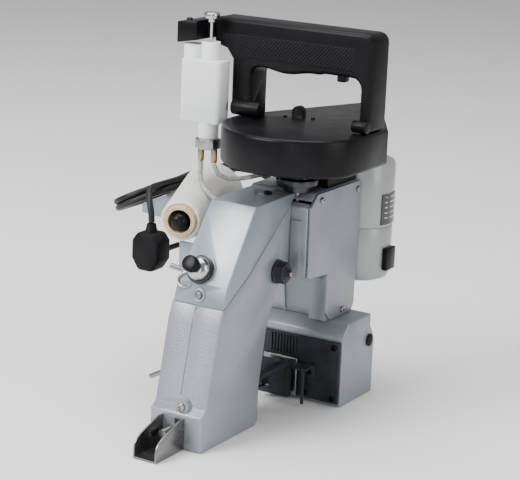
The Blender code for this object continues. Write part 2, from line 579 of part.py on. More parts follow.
def make_belt_drive():
    """Main pulley on its shaft, motor pulley, belt, and the base that carries them."""
    middle = (PULLEY_LOW + PULLEY_HIGH) / 2
    groove = PULLEY_R - BELT_HALF - GAP
    rim = PULLEY_R + 0.0020
    low, high = BELT_LOW - 0.0005, BELT_HIGH + 0.0005
    pulley = [(0, 0.1300), (SHAFT_R, 0.1300), (SHAFT_R, 0.1460), (0.0072, 0.1460), (0.0072, 0.1540),
              (SHAFT_R, 0.1540), (SHAFT_R, PULLEY_LOW), (rim, PULLEY_LOW), (rim, low - 0.0010), (groove, low),
              (groove, high), (rim, high + 0.0010), (rim, PULLEY_HIGH), (0.0120, PULLEY_HIGH),
              (0.0120, PULLEY_HIGH + 0.0030), (0, PULLEY_HIGH + 0.0030)]
    pulley = [(r, z - middle) for r, z in pulley]
    set_pivot(turned("main_pulley", pulley, (SHAFT_X, SHAFT_Y, middle), "casting", sides=36),
              (SHAFT_X, SHAFT_Y, middle))
    groove = PINION_R - BELT_HALF - GAP
    rim = PINION_R + 0.0018
    pinion = [(0, 0.1920), (0.0035, 0.1920), (0.0035, PULLEY_LOW), (rim, PULLEY_LOW), (rim, low - 0.0010),
              (groove, low), (groove, high), (rim, high + 0.0010), (rim, PULLEY_HIGH), (0, PULLEY_HIGH)]
    pinion = [(r, z - middle) for r, z in pinion]
    set_pivot(turned("motor_pulley", pinion, (MOTOR_X, MOTOR_Y, middle), "steel", sides=24),
              (MOTOR_X, MOTOR_Y, middle))
    ends = (SHAFT_X, SHAFT_Y, PULLEY_R + BELT_HALF, MOTOR_X, MOTOR_Y, PINION_R + BELT_HALF)
    belt = prism("drive_belt", belt_line(*ends, 24), "Z", BELT_LOW, BELT_HIGH, "rubber")
    ends = (SHAFT_X, SHAFT_Y, PULLEY_R - BELT_HALF, MOTOR_X, MOTOR_Y, PINION_R - BELT_HALF)
    cut(belt, prism("belt_inside", belt_line(*ends, 24), "Z", BELT_LOW - 0.01, BELT_HIGH + 0.01, "rubber"))

    plate_low, plate_high = 0.2105, CASE_LOW - GAP
    base = prism("belt_base", belt_line(SHAFT_X, SHAFT_Y, 0.030, MOTOR_X, MOTOR_Y, 0.019), "Z", plate_low,
                 plate_high,
                 "black")
    add(base, block("pedestal", (-0.036, 0.1600, HOUSING_TOP + GAP), (0.0140, 0.2090, plate_low + 0.001),
                    "black"))
    add(base, turned("motor_seat", [(0, 0), (0.0185, 0), (0.0185, 0.0095), (0, 0.0095)],
                     (MOTOR_X, MOTOR_Y, MOTOR_TOP + GAP), "black"))
    add(base, block("right_ear", (0.0200, 0.1380, plate_low), (0.0520, 0.1520, plate_high), "black"))
    add(base, block("left_ear", (-0.0500, 0.1240, plate_low), (-0.0200, 0.1400, plate_high), "black"))
    add(base, block("left_shroud", (-0.0520, 0.1200, 0.2010), (-0.0200, 0.1560, plate_low + 0.001), "black"))
    for name, x, y in (("right_post", 0.0475, 0.1450), ("left_post", -0.0462, 0.1320)):
        add(base, rod(name, (x, y, plate_low + 0.001), (x, y, CASE_TOP - 0.0030 - GAP), 0.0034, "black",
                      20))
    cut(base, rod("base_shaft_way", (SHAFT_X, SHAFT_Y, 0.18), (SHAFT_X, SHAFT_Y, 0.23), SHAFT_R + 0.0006,
                  "black"))
    cut(base, rod("base_motor_way", (MOTOR_X, MOTOR_Y, 0.19), (MOTOR_X, MOTOR_Y, 0.23), 0.0042, "black"))
    hub = [(SHAFT_R + 0.0006, 0), (0.0125, 0), (0.0125, 0.0050), (0.0165, 0.0056), (0.0165, 0.0100),
           (0.0153, 0.0112), (0.0120, 0.0112), (0.0120, 0.0209), (SHAFT_R + 0.0006, 0.0209)]
    turned("bearing_hub", hub, (SHAFT_X, SHAFT_Y, HOUSING_TOP + GAP), "steel")


def case_outline(inset):
    """The belt cover's outline: a round end, a flat right side, and straight sides to a narrow end."""
    wide, narrow, flat = CASE_R - inset, TAIL_R - inset, CASE_FLAT - inset
    lean = atan2(TAIL_Y - CASE_Y, TAIL_X - CASE_X)
    open_angle = acos((wide - narrow) / hypot(TAIL_X - CASE_X, TAIL_Y - CASE_Y))
    first = lean + open_angle
    last = 2 * pi - acos((flat - CASE_X) / wide)
    steps = 30
    turns = [first + (last - first) * k / steps for k in range(steps + 1)]
    outline = [(CASE_X + wide * cos(t), CASE_Y + wide * sin(t)) for t in turns]
    corner = Vector((flat, CASE_CORNER))
    outline.append(tuple(corner))
    away = Vector((TAIL_X, TAIL_Y)) - corner
    start = atan2(away.y, away.x) - pi + acos(narrow / away.length)
    steps = 10
    turns = [start + (first - start) * k / steps for k in range(steps + 1)]
    return outline + [(TAIL_X + narrow * cos(t), TAIL_Y + narrow * sin(t)) for t in turns]


def make_belt_cover():
    """The black cover over the belt, open underneath."""
    cover = prism("belt_cover", case_outline(0), "Z", CASE_LOW, CASE_TOP, "black", True)
    soften(cover, 0.0030, 3, 60)
    inside = prism("belt_room", case_outline(CASE_WALL), "Z", CASE_LOW - 0.01, CASE_TOP - 0.0030, "black")
    cut(cover, inside)
    arch = [(-0.0155, CASE_TOP - 0.001), (-0.0055, CASE_TOP - 0.001)]
    arch += [(-0.0105 + 0.005 * cos(pi * k / 8),
              CASE_TOP + 0.0048 + 0.005 * sin(pi * k / 8)) for k in range(9)]
    add(cover, prism("cover_tab", arch, "Y", 0.1460, 0.1520, "black"))


def make_motor():
    """The upright motor behind the housing, in two shells."""
    shell = [(0, MOTOR_SEAM), (MOTOR_R, MOTOR_SEAM), (MOTOR_R, MOTOR_TOP - 0.0040),
             (MOTOR_R - 0.0012, MOTOR_TOP - 0.0012),
             (MOTOR_R - 0.0040, MOTOR_TOP), (0, MOTOR_TOP)]
    housing = turned("motor_housing", shell, (MOTOR_X, MOTOR_Y, 0), "motor", sides=40)
    cut(housing, rod("motor_shaft_way", (MOTOR_X, MOTOR_Y, 0.188), (MOTOR_X, MOTOR_Y, 0.22), 0.0040,
                     "steel"))
    high = MOTOR_SEAM - GAP
    cap = [(0, MOTOR_FLOOR), (MOTOR_R - 0.0070, MOTOR_FLOOR), (MOTOR_R - 0.0024, MOTOR_FLOOR + 0.0020),
           (MOTOR_R - 0.0003, MOTOR_FLOOR + 0.0070), (MOTOR_R, high), (0, high)]
    turned("motor_cap", cap, (MOTOR_X, MOTOR_Y, 0), "motor", sides=40)

    way = Vector((cos(radians(12)), sin(radians(12)), 0))
    label = block("rating_label", (MOTOR_X - 0.012, MOTOR_Y - 0.0120, 0.1470),
                  (MOTOR_X + 0.060, MOTOR_Y + 0.0120, 0.1740),
                  "black")
    ring = [(MOTOR_R + GAP, 0.14), (MOTOR_R + 0.0009, 0.14), (MOTOR_R + 0.0009, 0.19),
            (MOTOR_R + GAP, 0.19)]
    keep = turned("label_ring", ring, (MOTOR_X, MOTOR_Y, 0), "black", sides=64)
    label.data.transform(Matrix.Translation((0.024, 0, 0)))
    combine(label, keep, "INTERSECT")
    holder = block("brush_holder", (MOTOR_X + MOTOR_R - 0.0010, MOTOR_Y - 0.0080, 0.1060),
                   (MOTOR_X + MOTOR_R + 0.0040, MOTOR_Y + 0.0080, 0.1260), "black")
    soften(holder, 0.0010)
    cut(holder, rod("motor_skin", (MOTOR_X, MOTOR_Y, 0.08), (MOTOR_X, MOTOR_Y, 0.16), MOTOR_R + GAP,
                    "black", 96))


# ---- handle and oil pot --------------------------------------------------------------------


def make_handle():
    """The carrying handle, with its finger grip underneath and a trigger button."""
    left_in, right_in = -0.0433, 0.0580
    foot = CASE_TOP + GAP
    grip = [(x, 0.2890 - 0.0030 * sin(pi * (x + 0.036) / 0.050) ** 2 * (x < 0.014) + 0.0012 * (x > 0.02))
            for x in [-0.036 + 0.0043 * k for k in range(20)]]
    corner_left = [(left_in + 0.0075 - 0.0075 * cos(k * pi / 8),
                    0.2815 + 0.0075 * sin(k * pi / 8)) for k in range(4)]
    corner_right = [(right_in - 0.0090 + 0.0090 * sin(k * pi / 8),
                     0.2812 + 0.0090 * cos(k * pi / 8)) for k in range(1, 5)]
    crown = [(CASE_FLAT - 0.0080 + 0.0080 * cos(k * pi / 8),
              GRIP_TOP - 0.0080 + 0.0080 * sin(k * pi / 8)) for k in range(5)]
    outline = [(-0.0620, foot), (left_in, foot)] + corner_left + grip + corner_right
    outline += [(right_in, foot), (CASE_FLAT, foot)] + crown
    outline += [(GRIP_LEFT, GRIP_TOP), (GRIP_LEFT, 0.3040), (-0.0680, 0.3010), (-0.0620, 0.2930)]
    handle = prism("handle", outline, "Y", GRIP_FRONT, GRIP_BACK, "black", True)
    soften(handle, 0.0032, 3, 60)
    cut(handle, block("trigger_pocket", (0.0308, 0.1338, 0.27), (0.0392, 0.1422, 0.2998), "black"))
    lugs = (("left_lug", -0.0560, -0.0300, 0.0066), ("right_lug", 0.0560, 0.0684, 0.0050))
    for name, low, high, radius in lugs:
        middle = (GRIP_FRONT - 0.0030, foot + radius + 0.0004)
        add(handle, rod(name, (low, *middle), (high, *middle), radius, "black", 20))
    trigger = block("trigger_button", (0.0312, 0.1342, 0.2840), (0.0388, 0.1418, 0.2945), "black")
    soften(trigger, 0.0008)


def make_oil_pot():
    """Oil pot with filler neck, pump neck, outlet nut, plunger and its two outlet tubes."""
    corners = [(POT_LEFT, POT_FRONT), (POT_RIGHT, POT_FRONT), (POT_RIGHT, POT_BACK), (POT_LEFT, POT_BACK)]
    pot = prism("oil_pot", rounded(corners, 0.0040, 4), "Z", POT_LOW, POT_HIGH, "white", True)
    soften(pot, 0.0022, 2, 60)
    inner = [(POT_LEFT + 0.0016, POT_FRONT + 0.0016), (POT_RIGHT - 0.0016, POT_FRONT + 0.0016),
             (POT_RIGHT - 0.0016, POT_BACK - 0.0016), (POT_LEFT + 0.0016, POT_BACK - 0.0016)]
    for name, x, radius, high in (("filler_neck", FILLER_X, 0.0080, 0.3036),
                                  ("pump_neck", PUMP_X, 0.0078, 0.3068)):
        add(pot, rod(name, (x, NECK_Y, POT_HIGH - 0.002), (x, NECK_Y, high), radius, "white", 28))
    add(pot, rod("outlet_neck", (SPOUT_X, NECK_Y, POT_LOW + 0.002), (SPOUT_X, NECK_Y, 0.2270), 0.0085,
                 "white", 28))
    cut(pot, prism("pot_room", rounded(inner, 0.0025, 3), "Z", POT_LOW + 0.0018, POT_HIGH - 0.0018,
                   "white"))
    cut(pot, rod("pump_way", (PUMP_X, NECK_Y, 0.285), (PUMP_X, NECK_Y, 0.32), 0.0022, "white", 20))
    plunger = [(0, 0.2560), (0.0050, 0.2560), (0.0050, 0.2600), (0.0015, 0.2600), (0.0015, 0.3225),
               (0.0036, 0.3230),
               (0.0036, 0.3255), (0.0066, 0.3262), (0.0066, 0.3300), (0.0058, 0.3308), (0, 0.3308)]
    turned("oil_plunger", plunger, (PUMP_X, NECK_Y, 0), "chrome", sides=28)
    hexagon = [(SPOUT_X + 0.0108 * cos(pi * k / 3 + 0.45),
                NECK_Y + 0.0108 * sin(pi * k / 3 + 0.45)) for k in range(6)]
    soften(prism("pot_nut", hexagon, "Z", 0.2180, 0.2267, "zinc"), 0.0005, 1)
    ways = {"left": -0.0065, "right": 0.0065}
    for side, shift in ways.items():
        ferrule = [(0, 0.2065), (0.0024, 0.2065), (0.0027, 0.2080), (0.0027, 0.2177), (0, 0.2177)]
        turned(f"ferrule_{side}", ferrule, (SPOUT_X + shift, NECK_Y, 0), "brass", sides=20)
    top = 0.2050
    left, right = SPOUT_X + ways["left"], SPOUT_X + ways["right"]
    hose("oil_tube_left", [(left, NECK_Y, top), (left + 0.0004, NECK_Y - 0.001, 0.2035),
                           (left + 0.0040, 0.1070, 0.1985),
                           (-0.0720, 0.0990, 0.1935), (-0.0640, 0.0925, 0.1890), (-0.0555, 0.0890, 0.1850),
                           (-0.0470, 0.0880, 0.1815), (-0.0450, 0.0880, 0.1807)], TUBE_R, "tube")
    hose("oil_tube_right", [(right, NECK_Y, top), (right + 0.0003, NECK_Y, 0.2020),
                            (right + 0.0040, 0.1150, 0.1965),
                            (-0.0590, 0.1200, 0.1932), (-0.0500, 0.1300, 0.1935), (-0.0430, 0.1410, 0.1950),
                            (-0.0370, 0.1500, 0.1972), (-0.0365, 0.1596, 0.1985)], TUBE_R, "tube")
    bracket = prism("oil_bracket", [(-0.1042, 0.3040), (GRIP_LEFT - GAP, 0.3085), (GRIP_LEFT - GAP, 0.3238),
                                    (-0.1042, 0.3215)], "Y", 0.1050, 0.1480, "black")
    soften(bracket, 0.0010)
    cut(bracket, block("plunger_room", (-0.0850, 0.10, 0.29), (-0.07, GRIP_FRONT - 0.0005, 0.33), "black"))


# ---- thread cone ---------------------------------------------------------------------------


def make_thread_stand():
    """Bracket, spindle and knob that carry the cone, and the cone with its thread."""
    way = Vector((-sin(CONE_TURN), cos(CONE_TURN), 0))
    aside = Vector((-cos(CONE_TURN), -sin(CONE_TURN), 0))
    tube = [(0.0095, 0), (0.0130, 0), (0.0245, CONE_LENGTH), (0.0210, CONE_LENGTH)]
    turned("paper_cone", tube, NOSE, "kraft", way, 40)
    thread = [(0.01365, 0.0040), (0.0158, 0.0035), (0.0168, 0.0050), (0.0276, CONE_LENGTH - 0.0060),
              (0.0268, CONE_LENGTH - 0.0035), (0.0247, CONE_LENGTH - 0.0035)]
    turned("thread_winding", thread, NOSE, "thread", way, 40)
    seat = CONE_LENGTH + 0.0040
    spindle = [(0, 0.0060), (0.0028, 0.0060), (0.0028, 0.1020), (0.0190, 0.1020), (0.0200, 0.1040),
               (0.0200, 0.1100),
               (0.0060, 0.1100), (0.0060, seat - GAP), (0, seat - GAP)]
    turned("spindle", spindle, NOSE, "steel", way, 28)
    knob = [(0, -0.0050), (0.0040, -0.0044), (0.0064, -0.0022), (0.0070, 0.0010), (0.0066, 0.0040),
            (0.0050, 0.0056),
            (0, 0.0057)]
    turned("spindle_knob", knob, NOSE, "black", way, 28)

    left, plate = ARM_LEFT - GAP, 0.0025
    bracket = block("spool_bracket", (left - plate, 0.0620, 0.1380), (left, 0.1850, 0.1500), "cover")
    add(bracket, block("front_flange", (-0.0670, 0.0620, 0.1280), (left, 0.0645, 0.1500), "cover"))
    add(bracket, block("shelf", (-0.1000, 0.1680, 0.1380), (left, 0.1850, 0.1405), "cover"))
    lower = NOSE + way * seat
    under = []
    for s in (0.066, 0.037):
        across = lower.x + aside.x * s - HANK_MIDDLE.x
        drop = (2 * CORD_R + 2 * GAP) / cos(HANK_TILT)
        under.append((s, HANK_MIDDLE.z + across * tan(HANK_TILT) - drop))
    low_edge = [(-0.020, 0.1380), (0.034, 0.1380), (0.066, under[0][1] - 0.0075)]
    high_edge = [(0.028, 0.1670), (0.022, 0.1760), (0.016, 0.1860), (-0.016, 0.1860)]
    upright = prism("upright", low_edge + under + high_edge, "Z", 0, plate, "cover")
    turn = Matrix(((aside.x, 0, way.x, lower.x), (aside.y, 0, way.y, lower.y), (0, 1, 0, 0), (0, 0, 0, 1)))
    upright.data.transform(turn)
    upright.data.flip_normals()
    add(bracket, upright)


# ---- power cord ----------------------------------------------------------------------------

gland_start = Vector((MOTOR_X - MOTOR_R + 0.0004, MOTOR_Y, GLAND_Z))
gland_end = gland_start - Vector((GLAND_LENGTH + 2 * GAP, 0, 0))


def hank_point(across, along, above):
    """A place in the hank: across it to the right, along it to the rear, and above its middle layer."""
    wide = Vector((cos(HANK_TILT), 0, sin(HANK_TILT)))
    up = Vector((-sin(HANK_TILT), 0, cos(HANK_TILT)))
    return HANK_MIDDLE + wide * across + Vector((0, along, 0)) + up * above


def lead_points(start, end):
    """Points from the gland to the hank's rear: a right turn and then a left turn, rising all the way."""
    away = start.x - end.x - LEAD_BEND * (2 * sin(LEAD_TURN) + 1)
    corner = Vector((start.x - away, start.y))
    middle = corner + LEAD_BEND * Vector((-2 * sin(LEAD_TURN), 1 - 2 * cos(LEAD_TURN)))
    plan = [start.xy, corner]
    for k in range(1, 6):
        turn = LEAD_TURN * k / 5
        plan.append(corner + LEAD_BEND * Vector((-sin(turn), 1 - cos(turn))))
    for k in range(1, 11):
        turn = pi - LEAD_TURN + (pi / 2 + LEAD_TURN) * k / 10
        plan.append(middle + LEAD_BEND * Vector((sin(turn), -cos(turn))))
    plan.append(end.xy)
    points = []
    for k, spot in enumerate(plan):
        t = k / (len(plan) - 1)
        points.append(Vector((*spot, start.z + (end.z - start.z) * (3 - 2 * t) * t**2)))
    return points


def make_cord():
    """Gland on the motor, cord, hank, and the plug that hangs from the hank on a short tail."""
    gland = [(0, 0), (0.0060, 0), (0.0062, 0.0040), (0.0050, 0.0060), (0.0040, GLAND_LENGTH),
             (0, GLAND_LENGTH)]
    gland = turned("cord_gland", gland, gland_start, "rubber", (-1, 0, 0), 20)
    cut(gland, rod("gland_seat", (MOTOR_X, MOTOR_Y, 0.10), (MOTOR_X, MOTOR_Y, 0.14), MOTOR_R + GAP,
                   "rubber", 96))

    edge = HANK_FOLD + CORD_R
    half = HANK_RUN / 2
    outline = []
    for side in (1, -1):
        for k in range(17):
            turn = pi * k / 16
            outline.append((side * edge * cos(turn), side * (half + edge * sin(turn))))
    hank = prism("cord_hank", outline, "Z", -2 * CORD_R, 2 * CORD_R, "rubber", True)
    for corner in hank.data.vertices:
        corner.co = hank_point(*corner.co)

    lead_in = half + (edge**2 - (HANK_FOLD - CORD_R) ** 2) ** 0.5 + GAP * 1.5
    end = hank_point(HANK_FOLD, lead_in, -CORD_R)
    hose("power_cord", lead_points(gland_end, end), CORD_R, "rubber")

    start = hank_point(HANK_FOLD, -lead_in, CORD_R)
    tail = curve_points(start, start - Vector((0, 0.0180, 0)), PLUG_TOP + Vector((0, 0, 0.0180)),
                        PLUG_TOP + Vector((0, 0, 4 * GAP)))
    hose("cord_tail", tail, CORD_R, "rubber")
    body = [(-0.0080, -0.0070), (0.0080, -0.0070), (0.0135, -0.0140), (0.0135, -0.0300), (0.0070, -0.0400),
            (-0.0070, -0.0400), (-0.0135, -0.0300), (-0.0135, -0.0140)]
    body = [(PLUG_TOP.x + x, PLUG_TOP.z + z) for x, z in body]
    case = prism("plug", body, "Y", PLUG_TOP.y - 0.0100, PLUG_TOP.y + 0.0100, "rubber")
    soften(case, 0.0025, 2)
    neck = [(0, -0.0150), (0.0058, -0.0150), (0.0054, -0.0070), (0.0038, 0), (0, 0)]
    add(case, turned("plug_neck", neck, PLUG_TOP, "rubber", (0, 0, 1), 20))
    for x in (-0.0095, 0.0095):
        pin = [(0, 0), (0.0024, 0), (0.0024, 0.0180), (0.0012, 0.0190), (0, 0.0190)]
        add(case, turned("plug_pin", pin, PLUG_TOP + Vector((x, 0.0095, -0.0225)), "brass", (0, 1, 0), 16))


make_arm()
make_front_cover()
make_tension()
make_thread_guide()
make_needle_drive()
make_guard()
make_presser()
make_housing()
make_side_cover()
make_bed()
make_chain_cutter()
make_belt_drive()
make_belt_cover()
make_motor()
make_handle()
make_oil_pot()
make_thread_stand()
make_cord()
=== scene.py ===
import json
from math import cos, pi, radians, sin, sqrt

import bmesh
import bpy
from mathutils import Matrix, Vector


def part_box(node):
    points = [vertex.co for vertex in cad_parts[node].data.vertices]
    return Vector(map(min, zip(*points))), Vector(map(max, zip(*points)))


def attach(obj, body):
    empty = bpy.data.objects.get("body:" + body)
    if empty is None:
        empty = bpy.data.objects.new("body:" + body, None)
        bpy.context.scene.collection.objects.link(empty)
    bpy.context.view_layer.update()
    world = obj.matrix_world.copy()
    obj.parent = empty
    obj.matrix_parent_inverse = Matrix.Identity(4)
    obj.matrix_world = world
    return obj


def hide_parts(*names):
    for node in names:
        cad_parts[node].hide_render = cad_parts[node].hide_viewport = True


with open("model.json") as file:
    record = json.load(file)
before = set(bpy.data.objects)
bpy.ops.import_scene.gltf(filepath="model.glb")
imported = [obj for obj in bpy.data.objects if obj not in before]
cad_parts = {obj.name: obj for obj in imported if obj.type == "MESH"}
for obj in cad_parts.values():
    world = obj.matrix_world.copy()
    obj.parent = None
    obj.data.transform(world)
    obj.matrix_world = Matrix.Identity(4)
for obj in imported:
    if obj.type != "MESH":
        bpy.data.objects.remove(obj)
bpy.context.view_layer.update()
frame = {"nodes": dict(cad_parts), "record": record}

shift = Vector((0.0467, -0.1155, 0.0))  # from the arm's toe corner to the frame's origin


def at(x, y, z):
    return Vector((x, y, z)) + shift


# camera, floor and lights

cameraValues = {"aim": (0.0807, -0.0953, 0.1761), "back": (0.4954, -0.8324, 0.2483), "distance": 1.374,
                "roll": 2.43, "lens": 124.8}


def makeCamera(v):
    back = Vector(v["back"]).normalized()
    camera = bpy.data.objects.new("camera", bpy.data.cameras.new("camera"))
    bpy.context.scene.collection.objects.link(camera)
    camera.data.lens = v["lens"]
    camera.data.sensor_width = 36
    camera.data.clip_start = 0.05
    turn = back.to_track_quat("Z", "Y").to_matrix().to_4x4()
    camera.matrix_world = (Matrix.Translation(Vector(v["aim"]) + back * v["distance"]) @ turn
                           @ Matrix.Rotation(radians(v["roll"]), 4, "Z"))
    bpy.context.scene.camera = camera


lightTarget = (0.0, 0.0, 0.17)
lightValues = {
    "keyLight": {"place": (-0.9, -1.6, 1.5), "size": (1.1, 1.1), "power": 62},
    "sideLight": {"place": (1.9, -0.2, 0.8), "size": (0.8, 1.4), "power": 15},
    "topLight": {"place": (-0.2, 0.1, 2.0), "size": (1.6, 1.6), "power": 46},
    "frontCard": {"place": (0.7, -1.9, 0.4), "size": (0.4, 1.3), "power": 6},
}


def addLight(name, v):
    data = bpy.data.lights.new(name, "AREA")
    data.shape = "RECTANGLE"
    data.size, data.size_y = v["size"]
    data.energy = v["power"]
    lamp = bpy.data.objects.new(name, data)
    bpy.context.scene.collection.objects.link(lamp)
    way = Vector(v["place"]) - Vector(lightTarget)
    lamp.matrix_world = Matrix.Translation(v["place"]) @ way.to_track_quat("Z", "Y").to_matrix().to_4x4()


makeCamera(cameraValues)
for name, values in lightValues.items():
    addLight(name, values)
print("camera and lights made")


# shader maths

class Sock:

    def __init__(self, tree, link):
        self.tree = tree
        self.link = link

    def maths(self, operation, *others):
        node = addNode(self.tree, "ShaderNodeMath", {"operation": operation})
        for i, value in enumerate((self,) + others):
            setInput(self.tree, node.inputs[i], value)
        return Sock(self.tree, node.outputs[0])

    def __add__(self, other):
        return self.maths("ADD", other)

    __radd__ = __add__

    def __mul__(self, other):
        return self.maths("MULTIPLY", other)

    __rmul__ = __mul__

    def __sub__(self, other):
        return self.maths("SUBTRACT", other)

    def __rsub__(self, other):
        return (self * -1) + other

    def clamp(self, low, high):
        ends = {"From Min": low, "From Max": high}
        node = addNode(self.tree, "ShaderNodeMapRange", {"clamp": True}, **ends)
        setInput(self.tree, node.inputs["Value"], self)
        return Sock(self.tree, node.outputs["Result"])


def setInput(tree, socket, value):
    if isinstance(value, Sock):
        tree.links.new(value.link, socket)
    else:
        socket.default_value = value


def addNode(tree, kind, settings=None, **values):
    node = tree.nodes.new(kind)
    for key, value in (settings or {}).items():
        setattr(node, key, value)
    for key, value in values.items():
        setInput(tree, node.inputs[key], value)
    return node


class Finish:
    def __init__(self, name, colour, roughness, metallic=0.0, **fixed):
        self.material = bpy.data.materials.new(name)
        self.material.use_nodes = True
        self.tree = self.material.node_tree
        self.shader = self.tree.nodes["Principled BSDF"]
        self.shader.inputs["Roughness"].default_value = roughness
        self.shader.inputs["Metallic"].default_value = metallic
        self.shader.inputs["Base Color"].default_value = (*colour, 1)
        for key, value in fixed.items():
            self.shader.inputs[key.replace("_", " ")].default_value = value
        self.place = Sock(self.tree, self.add("ShaderNodeTexCoord").outputs["Object"])

    def add(self, kind, settings=None, **values):
        return addNode(self.tree, kind, settings, **values)

    def out(self, kind, output, settings=None, **values):
        return Sock(self.tree, self.add(kind, settings, **values).outputs[output])

    def mapped(self, place=(0, 0, 0), turn=(0, 0, 0), scale=(1, 1, 1)):
        values = {"Vector": self.place, "Location": place, "Rotation": turn, "Scale": scale}
        return self.out("ShaderNodeMapping", "Vector", **values)

    def noise(self, scale, detail=3.0, vector=None, roughness=0.5):
        values = {"Vector": vector or self.place, "Scale": scale, "Detail": detail, "Roughness": roughness}
        return self.out("ShaderNodeTexNoise", "Fac", **values)

    def axis(self, letter, vector=None):
        return self.out("ShaderNodeSeparateXYZ", letter, Vector=vector or self.place)

    def between(self, value, low, high, soft=0.0004):
        return value.clamp(low - soft, low + soft) * (1 - value.clamp(high - soft, high + soft))

    def mix(self, mask, first, second):
        node = self.add("ShaderNodeMix", {"data_type": "RGBA"})
        setInput(self.tree, node.inputs[0], mask)
        for socket, colour in ((node.inputs[6], first), (node.inputs[7], second)):
            setInput(self.tree, socket, colour if isinstance(colour, Sock) else (*colour, 1))
        return Sock(self.tree, node.outputs[2])

    def feed(self, name, value):
        setInput(self.tree, self.shader.inputs[name], value)
        return self

    def bump(self, height, distance, strength=1.0):
        node = self.add("ShaderNodeBump", None, Height=height, Distance=distance, Strength=strength)
        self.tree.links.new(node.outputs["Normal"], self.shader.inputs["Normal"])
        return self


def shade(colour, factor):
    return tuple(min(1.0, c * factor) for c in colour)


# finishes

castingValues = {"colour": (0.265, 0.285, 0.315), "roughness": 0.38, "metallic": 0.45, "grain": 0.00012}
castSkin = {"fade": (0.0016, 0.0006), "scale": 620, "height": 4.0}


def castingPaint(name, v, brightness=1.0, grain=1.0, fill=900, face=None):
    f = Finish(name, v["colour"], v["roughness"], v["metallic"])
    colour = shade(v["colour"], brightness)
    cloud = f.noise(28, 4)
    speck = f.noise(2600, 2).clamp(0.56, 0.70)
    clouded = f.mix(cloud.clamp(0.3, 0.7), shade(colour, 0.90), shade(colour, 1.07))
    f.feed("Base Color", f.mix(speck * 0.55, clouded, shade(colour, 1.45)))
    f.feed("Roughness", v["roughness"] + 0.12 * f.noise(160, 4) + 0.10 * f.noise(12, 2) - 0.10)
    height = f.noise(fill, 3) + 0.35 * f.noise(150, 2)
    if face is not None:  # the skin stays as cast except on the machined side
        cast = 1 - f.axis("X").clamp(face - castSkin["fade"][0], face - castSkin["fade"][1])
        height = height + cast * castSkin["height"] * f.noise(castSkin["scale"], 4)
    f.bump(height, v["grain"] * grain, 0.55)
    return f.material


paintedCasting = castingPaint("paintedCasting", castingValues)
armPaint = castingPaint("armPaint", castingValues, 1.04, face=shift.x)
roughCasting = castingPaint("roughCasting", castingValues, 0.96, 3.2, 520)
coverValues = {"colour": (0.250, 0.290, 0.325), "roughness": 0.32, "metallic": 0.40, "grain": 0.00008}
coverPaint = castingPaint("coverPaint", coverValues)
bracketPaint = castingPaint("bracketPaint", coverValues, 1.05)
# the side plate gets a darker copy of the casting paint: painted shade on the right side, which faces away
# from the key light
shadedSideValues = {"colour": (0.245, 0.262, 0.290), "roughness": 0.36, "metallic": 0.45, "grain": 0.00008}
shadedSidePaint = castingPaint("shadedSidePaint", shadedSideValues)


def blackPlastic(name, colour=(0.0048, 0.0048, 0.0058), roughness=0.36, knurl=None, grain=0.00007):
    f = Finish(name, colour, roughness, 0.0, Specular_IOR_Level=0.13)
    texture = f.noise(1500, 3)
    height = texture
    f.feed("Base Color", f.mix(f.noise(40, 4).clamp(0.35, 0.75), shade(colour, 0.8), shade(colour, 1.7)))
    rough = roughness + 0.16 * f.noise(90, 4) - 0.06
    depth = grain
    if knurl:
        x, z = f.axis("X"), f.axis("Z")
        inside = f.between(x, *knurl["x"]) * f.between(z, *knurl["z"])
        turns = 2 * pi / knurl["pitch"]
        first = ((x + z) * turns).maths("SINE") * 0.5 + 0.5
        second = ((x - z) * turns).maths("SINE") * 0.5 + 0.5
        cross = first.maths("MAXIMUM", second)
        cells = (cross * -1 + 1).clamp(0.02, 0.55)
        height = texture * 0.10 + inside * cells
        # the raised knurl diamonds are painted up to 3.4 times lighter than the plastic around them: a
        # painted highlight on their tops
        f.feed("Base Color", f.mix(inside * cells, shade(colour, 0.9), shade(colour, 3.4)))
        rough = rough + inside * 0.10
        depth = knurl["depth"]
    f.feed("Roughness", rough)
    return f.bump(height, depth, 0.8 if knurl else 0.5).material


knurlValues = {"x": (-0.0715 + shift.x, 0.0520 + shift.x), "z": (0.2955, 0.3135),
               "pitch": 0.0034, "depth": 0.0007}
handlePlastic = blackPlastic("handlePlastic", knurl=knurlValues)
coverPlastic = blackPlastic("coverPlastic", roughness=0.30)
knobPlastic = blackPlastic("knobPlastic", roughness=0.25)
basePlastic = blackPlastic("basePlastic", roughness=0.45)
blackSteel = blackPlastic("blackSteel", (0.026, 0.028, 0.034), 0.32, grain=0.00012)
rubberBlack = blackPlastic("rubberBlack", (0.005, 0.005, 0.006), 0.55, grain=0.00015)


def brushed(name, colour, roughness, scale=(1, 1, 1), fine=1.0, metallic=1.0):
    f = Finish(name, colour, roughness, metallic)
    lines = f.noise(900, 4, f.mapped(scale=scale), 0.7)
    f.feed("Base Color", f.mix(lines.clamp(0.25, 0.8), shade(colour, 0.72), shade(colour, 1.15)))
    f.feed("Roughness", roughness * 0.7 + 0.30 * lines + 0.15 * f.noise(60, 3) - 0.08)
    return f.bump(lines, 0.00005 * fine, 0.5).material


stainless = brushed("stainless", (0.22, 0.22, 0.22), 0.24, (0.04, 1, 1))
machined = brushed("machined", (0.24, 0.245, 0.255), 0.28, (1, 1, 0.05))
turnedSteel = brushed("turnedSteel", (0.30, 0.30, 0.31), 0.24, (0.05, 1, 1))
chrome = brushed("chrome", (0.50, 0.50, 0.51), 0.07, (1, 1, 1), 0.3)
zinc = brushed("zinc", (0.38, 0.39, 0.37), 0.24, (1, 1, 0.2))
darkSteel = brushed("darkSteel", (0.060, 0.061, 0.065), 0.28)
brass = brushed("brass", (0.42, 0.32, 0.17), 0.28, (1, 1, 0.2))


potValues = {"colour": (0.80, 0.84, 0.84), "oilLevel": (0.2520, 0.2560)}


